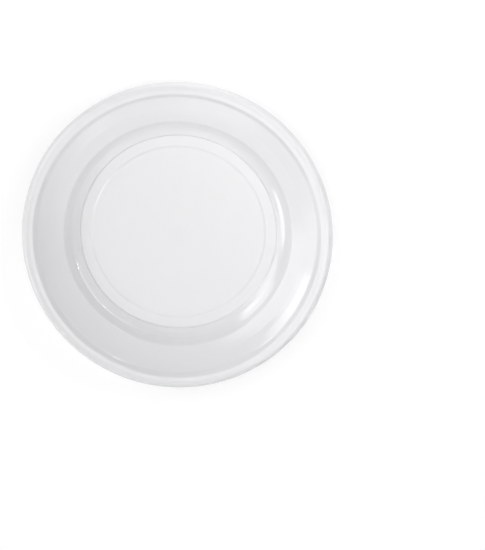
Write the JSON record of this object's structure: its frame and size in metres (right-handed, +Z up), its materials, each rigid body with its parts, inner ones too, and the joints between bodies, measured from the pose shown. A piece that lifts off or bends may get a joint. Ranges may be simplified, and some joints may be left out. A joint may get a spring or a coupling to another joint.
{
  "type": "disposable plate",
  "caption": "Round disposable dinner plate in thin white glossy plastic, with a raised rim and skirt, a sloping flange, a deep well and a low foot ring.",
  "frame": {"origin": "centre of the foot ring's underside, where the plate stands", "axes": "+Z up along the plate's axis; X and Y are alike, because the plate is round"},
  "size_m": [0.26, 0.26, 0.0241],
  "materials": {
    "white_plastic": "smooth glossy moulded plastic, faintly translucent"
  },
  "bodies": {
    "root": {"plate": "white_plastic"}
  },
  "joints": []
}
